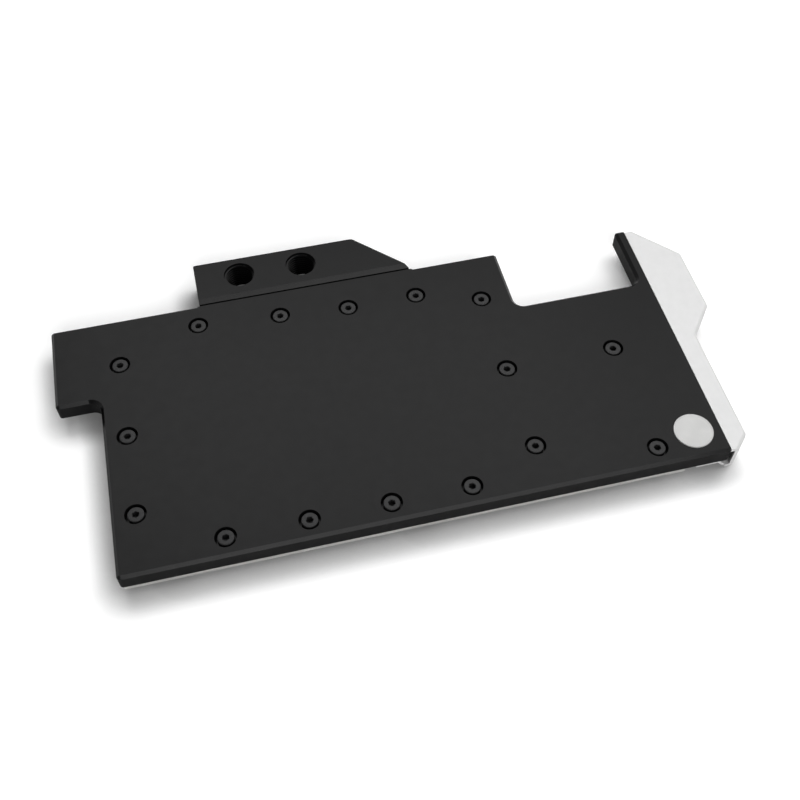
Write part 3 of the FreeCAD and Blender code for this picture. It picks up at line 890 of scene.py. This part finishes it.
@dataclass
class Terminal:
    """Black block with two threaded ports, machined from one bar.

    throat is half the width and half the height of the way into each port, and throat_round a
    share of that half height. over is how far a cutting shape runs past the block.
    """

    palette: Palette
    bevel: float = 1.6 * MM
    corner: float = 0.8 * MM
    port_x: float = 13.55 * MM
    port_y: float = 72.7 * MM
    thread: Thread = PIPE_THREAD
    mouth_radius: float = 6.6 * MM
    mouth_depth: float = 1.0 * MM
    screw_xs: tuple[float, ...] = (-27.1 * MM, 0.0, 27.1 * MM)
    screw_z: float = 4.95 * MM
    bore_radius: float = 3.9 * MM
    bore_depth: float = 4.6 * MM
    hole_radius: float = 2.15 * MM
    throat: tuple[float, float] = (3.4 * MM, 2.6 * MM)
    throat_round: float = 0.6
    over: float = 1.0 * MM

    def block(self) -> bpy.types.Object:
        """The bar with its slanted end, its rounded back corners and its front bevel.

        Returns:
            The block, without holes.
        """
        low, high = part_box("terminal")
        block = brick("terminal_block", low, high)
        open_edit(block)
        bpy.ops.mesh.bisect(plane_co=(high.x, low.y, 0), plane_no=(1, 1, 0),
                            use_fill=True, clear_outer=True, threshold=MERGE)
        leave_edit()
        slant_x = high.x - (high.y - low.y)
        pick_edges(block, lambda a, b: close(a.y, high.y) and close(b.y, high.y)
                   and close(a.x, b.x) and (close(a.x, low.x) or close(a.x, slant_x)))
        bpy.ops.mesh.bevel(offset=self.corner, segments=5)
        leave_edit()
        at_top = level_at(high.z)
        pick_edges(block, lambda a, b: at_top(a, b) and close(a.y, low.y) and close(b.y, low.y))
        bpy.ops.mesh.bevel(offset=self.bevel, segments=1)
        leave_edit()
        return block

    def port(self, x: float) -> bpy.types.Object:
        """The cutting shape of one threaded port, with its wide rim above and its mouth below.

        Args:
            x: Where the port is along the block.

        Returns:
            The cutting shape.
        """
        low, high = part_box("terminal")
        cutter = self.thread.bar("port", low.z - self.over, high.z + self.over)
        cutter.data.transform(Matrix.Translation((x, self.port_y, 0)))
        slope = self.mouth_radius - self.thread.minor
        mouth = rod("mouth", self.mouth_radius + self.over, (x, self.port_y, low.z - self.over),
                    (x, self.port_y, low.z + slope), steps=96, top_radius=self.thread.minor)
        combine(cutter, mouth, Cut.ADD)
        rim = rod("rim", self.mouth_radius, (x, self.port_y, high.z - self.mouth_depth),
                  (x, self.port_y, high.z + self.over), steps=96)
        combine(cutter, rim, Cut.ADD)
        return cutter

    def build(self) -> None:
        """Cuts the ports, the way into each, and the holes of the screws."""
        low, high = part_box("terminal")
        half_width, half_height = self.throat
        block = self.block()
        for x in (-self.port_x, self.port_x):
            throat = brick("throat",
                           (x - half_width, low.y - self.over, self.screw_z - half_height),
                           (x + half_width, self.port_y, self.screw_z + half_height))
            pick_edges(throat, lambda a, b: close(a.x, b.x) and close(a.z, b.z))
            bpy.ops.mesh.bevel(offset=half_height * self.throat_round, segments=6)
            leave_edit()
            combine(block, throat, Cut.REMOVE)
            combine(block, self.port(x), Cut.REMOVE)
        for x in self.screw_xs:
            bore = rod("bore", self.bore_radius, (x, high.y - self.bore_depth, self.screw_z),
                       (x, high.y + self.over, self.screw_z))
            combine(block, bore, Cut.REMOVE)
            hole = rod("hole", self.hole_radius, (x, low.y - self.over, self.screw_z),
                       (x, high.y, self.screw_z), steps=40)
            combine(block, hole, Cut.REMOVE)
        finish_mesh(block)
        self.palette.dress(block, Palette.BLACK_ACETAL)
        carry(block, "black_plastic", "terminal")


@dataclass
class Badge:
    """Round metal badge, bare, with a turned face and a fine rim."""

    palette: Palette
    edge: float = 0.22 * MM
    rim_width: float = 0.45 * MM
    dish: float = 0.05 * MM

    def build(self) -> None:
        """Turns the disc and cuts its shallow face."""
        low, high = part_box("badge")
        middle = (low + high) / 2
        disc = rod("badge_disc", (high.x - low.x) / 2, (middle.x, middle.y, low.z),
                   (middle.x, middle.y, high.z), steps=128)
        pick_edges(disc, level_at(high.z))
        bpy.ops.mesh.bevel(offset=self.edge, segments=3, profile=0.5)
        leave_edit()
        pick_faces(disc, lambda face: face.normal.z > SQUARE_TO)
        bpy.ops.mesh.inset(thickness=self.rim_width)
        bpy.ops.mesh.inset(thickness=self.dish, depth=-self.dish)
        leave_edit()
        finish_mesh(disc)
        self.palette.dress(disc, Palette.BADGE_METAL)
        carry(disc, "badge_metal", "badge")


@dataclass
class Block:
    """The solids as they are given, each with its finish, also those that are modelled again."""

    palette: Palette
    finishes: dict[str, Finish] = field(default_factory=lambda: {
        "top_plate": Palette.BLACK_ACETAL,
        "terminal": Palette.BLACK_ACETAL,
        "cold_plate": Palette.PLATED_COPPER,
        "jet_plate": Palette.THIN_STEEL,
        "main_seal": Palette.SEAL_RUBBER,
        "inlet_seal": Palette.SEAL_RUBBER,
        "outlet_seal": Palette.SEAL_RUBBER,
        "top_screws": Palette.BLACK_SCREW,
        "terminal_screws": Palette.BLACK_SCREW,
        "core_standoffs": Palette.PLATED_BRASS,
        "board_standoffs": Palette.PLATED_BRASS,
        "side_cover": Palette.BLASTED_SHEET,
        "cover_screws": Palette.BLACK_SCREW,
        "badge": Palette.BADGE_METAL,
        "badge_pad": Palette.PAD_FOAM,
    })

    def build(self) -> None:
        """Dresses each node."""
        for node, finish in self.finishes.items():
            self.palette.dress(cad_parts[node], finish)


@dataclass(frozen=True)
class Softbox:
    """A soft rectangular lamp that points at the object.

    Azimuth and elevation are degrees. Azimuth 0 is behind the object and 90 is at its right.
    """

    name: str
    azimuth: float
    elevation: float
    width: float
    height: float
    brightness: float
    distance: float = 1.5

    def build(self) -> None:
        """Hangs the lamp."""
        turn = math.radians(self.azimuth)
        rise = math.radians(self.elevation)
        place = self.distance * Vector((math.sin(turn) * math.cos(rise),
                                        math.cos(turn) * math.cos(rise), math.sin(rise)))
        wipe_selection()
        bpy.ops.object.light_add(type="AREA", location=place,
                                 rotation=(-place).to_track_quat("-Z", "Y").to_euler())
        lamp = bpy.context.object
        lamp.name = self.name
        lamp.data.shape = "RECTANGLE"
        lamp.data.size = self.width
        lamp.data.size_y = self.height
        lamp.data.energy = math.pi * self.width * self.height * self.brightness


@dataclass
class Studio:
    """The table, the lamps and the camera.

    The table has a painted shade within contact_reach of what stands on it: an occlusion test
    darkens its colour and its glow there. contact_range is how open the sky is there, from where
    the painted shade is deepest to where it ends, and contact_lean tilts the view of it, which
    deepens the painted shade in front and at the left. contact_shades are the deepest painted
    shades at the two ends of shade_sides, which lie along shade_axis, so that the painted shade
    is deep in front and faint behind.
    """

    table_size: float = 6.0
    table_colour: tuple[float, float, float] = (0.97, 0.97, 0.97)
    table_roughness: float = 0.9
    table_gloss: float = 0.1
    table_glow: float = 0.15
    fade_distances: tuple[float, float] = (0.3, 0.65)
    contact_samples: int = 16
    contact_reach: float = 13.5 * MM
    contact_range: tuple[float, float] = (0.40, 0.97)
    contact_lean: tuple[float, float, float] = (1.15, 0.62, 1.0)
    contact_shades: tuple[float, float] = (0.27, 0.97)
    shade_axis: tuple[float, float, float] = (0.7, 1.0, 0.0)
    shade_sides: tuple[float, float] = (45.0 * MM, 170.0 * MM)
    sky_strength: float = 0.08
    horizon_heights: tuple[float, float] = (0.4, 0.65)
    lamps: tuple[Softbox, ...] = (
        Softbox("right_softbox", 75, 45, 1.2, 1.2, 1.72),
        Softbox("back_softbox", 16, 59, 1.5, 1.0, 1.85),
        Softbox("window_softbox", 5, 58, 1.1, 0.7, 2.2),
        Softbox("front_softbox", 172, 35, 1.1, 0.6, 6.0))
    camera_place: tuple[float, float, float] = (-16.05 * MM, -239.65 * MM, 352.8 * MM)
    camera_azimuth: float = -13.389
    camera_elevation: float = 55.002
    camera_lens: float = 46.911
    camera_sensor: float = 36.0
    camera_clip: tuple[float, float] = (0.01, 20.0)

    def contact_shade(self, links: NodeSheet, place: Socket) -> Socket:
        """How light the table is, close to what stands on it and in the open.

        Args:
            links: The table's nodes.
            place: The place on the table.

        Returns:
            One on the open table, and less near the object, where the shade is painted.
        """
        near = links.add("ShaderNodeAmbientOcclusion")
        near.samples = self.contact_samples
        near.inputs["Distance"].default_value = self.contact_reach
        lean = links.add("ShaderNodeCombineXYZ")
        for socket, part in zip(lean.inputs, Vector(self.contact_lean).normalized()):
            socket.default_value = part
        links.join(lean.outputs["Vector"], near.inputs["Normal"])
        across = links.add("ShaderNodeVectorMath")
        across.operation = "DOT_PRODUCT"
        across.inputs[1].default_value = self.shade_axis
        links.join(place, across.inputs[0])
        deepest = links.scale(across.outputs["Value"], *self.shade_sides, *self.contact_shades)
        shade = links.scale(near.outputs["AO"], *self.contact_range, 0.0, 1.0)
        links.join(deepest, shade.node.inputs["To Min"])
        return shade

    def table_finish(self) -> bpy.types.Material:
        """A pale matt table, darker close to what stands on it.

        Returns:
            The table's material, whose colour and glow carry the painted shade. Where it is seen
            it also glows a little, and far off it fades to white.
        """
        links = NodeSheet("pale_table")
        links.shader.inputs["Roughness"].default_value = self.table_roughness
        links.shader.inputs["Specular IOR Level"].default_value = self.table_gloss
        place = links.add("ShaderNodeTexCoord").outputs["Object"]
        shade = self.contact_shade(links, place)
        # painted shade: the table's colour is mixed towards black near the object
        tone = links.add("ShaderNodeMix")
        tone.data_type = "RGBA"
        tone.inputs[MIX_FIRST].default_value = BLACK
        tone.inputs[MIX_SECOND].default_value = (*self.table_colour, 1)
        links.join(shade, tone.inputs[MIX_SHARE])
        links.join(tone.outputs[MIX_RESULT], links.shader.inputs["Base Color"])
        away = links.add("ShaderNodeVectorMath")
        away.operation = "LENGTH"
        links.join(place, away.inputs[0])
        fade = links.scale(away.outputs["Value"], *self.fade_distances, self.table_glow, 1.0)
        glow = links.add("ShaderNodeEmission")
        # painted shade: the glow is dimmed by the same shade near the object
        links.join(links.product(links.seen_rays(), links.product(shade, fade)),
                   glow.inputs["Strength"])
        both = links.add("ShaderNodeAddShader")
        links.join(links.shader.outputs["BSDF"], both.inputs[0])
        links.join(glow.outputs["Emission"], both.inputs[1])
        links.join(both.outputs["Shader"], links.tree.nodes["Material Output"].inputs["Surface"])
        return links.material

    def table(self) -> None:
        """The table that the standoffs stand on."""
        level = cad_bounds[0][2]
        wipe_selection()
        bpy.ops.mesh.primitive_plane_add(size=self.table_size, location=(0, 0, level))
        table = bpy.context.object
        table.name = "table"
        settle(table)
        table.data.materials.append(self.table_finish())

    def surround(self) -> None:
        """A plain surround, dim overhead and white round the horizon where it is seen."""
        world = bpy.data.worlds.new("surround")
        bpy.context.scene.world = world
        world.use_nodes = True
        links = NodeSheet(tree=world.node_tree)
        height = links.add("ShaderNodeSeparateXYZ")
        links.join(links.add("ShaderNodeTexCoord").outputs["Generated"], height.inputs["Vector"])
        band = links.scale(height.outputs["Z"], *self.horizon_heights,
                           1.0 - self.sky_strength, 0.0)
        white = links.product(links.seen_rays(), band)
        sky = links.tree.nodes["Background"]
        sky.inputs["Color"].default_value = WHITE
        links.join(links.scale(white, 0.0, 1.0, self.sky_strength, 1.0 + self.sky_strength),
                   sky.inputs["Strength"])

    def camera(self) -> None:
        """The camera at the photograph's place and angle."""
        azimuth = math.radians(self.camera_azimuth)
        tilt = math.radians(90.0 - self.camera_elevation)
        wipe_selection()
        bpy.ops.object.camera_add(location=self.camera_place, rotation=(tilt, 0.0, azimuth))
        camera = bpy.context.object
        camera.name = "photo_camera"
        camera.data.sensor_fit = "HORIZONTAL"
        camera.data.sensor_width = self.camera_sensor
        camera.data.lens = self.camera_lens
        camera.data.clip_start, camera.data.clip_end = self.camera_clip
        bpy.context.scene.camera = camera

    def build(self) -> None:
        """Sets up the whole studio."""
        bpy.context.scene.view_settings.view_transform = "Standard"
        self.table()
        self.surround()
        for lamp in self.lamps:
            lamp.build()
        self.camera()


def main() -> None:
    """Builds the classes in order."""
    logging.basicConfig(level=logging.INFO, format="%(name)s: %(message)s")
    palette = Palette()
    Block(palette).build()
    Terminal(palette).build()
    ScrewGroup(palette, "top_screws", SocketScrew(
        head_radius=3.2 * MM, head_height=2.8 * MM, key=2.5 * MM, length=6.8 * MM,
        thread=SCREW_THREAD, socket_share=0.8)).build()
    ScrewGroup(palette, "terminal_screws", SocketScrew(
        head_radius=3.5 * MM, head_height=4.0 * MM, key=3.0 * MM, length=24.3 * MM,
        thread=SCREW_THREAD), Heads.BACK).build()
    ScrewGroup(palette, "cover_screws", SocketScrew(
        head_radius=2.75 * MM, head_height=1.65 * MM, key=2.0 * MM, length=5.6 * MM,
        thread=COVER_THREAD, rim=0.3 * MM), Heads.DOWN).build()
    Standoffs(palette, "core_standoffs").build()
    Standoffs(palette, "board_standoffs").build()
    Badge(palette).build()
    Studio().build()


if __name__ == "__main__":
    main()
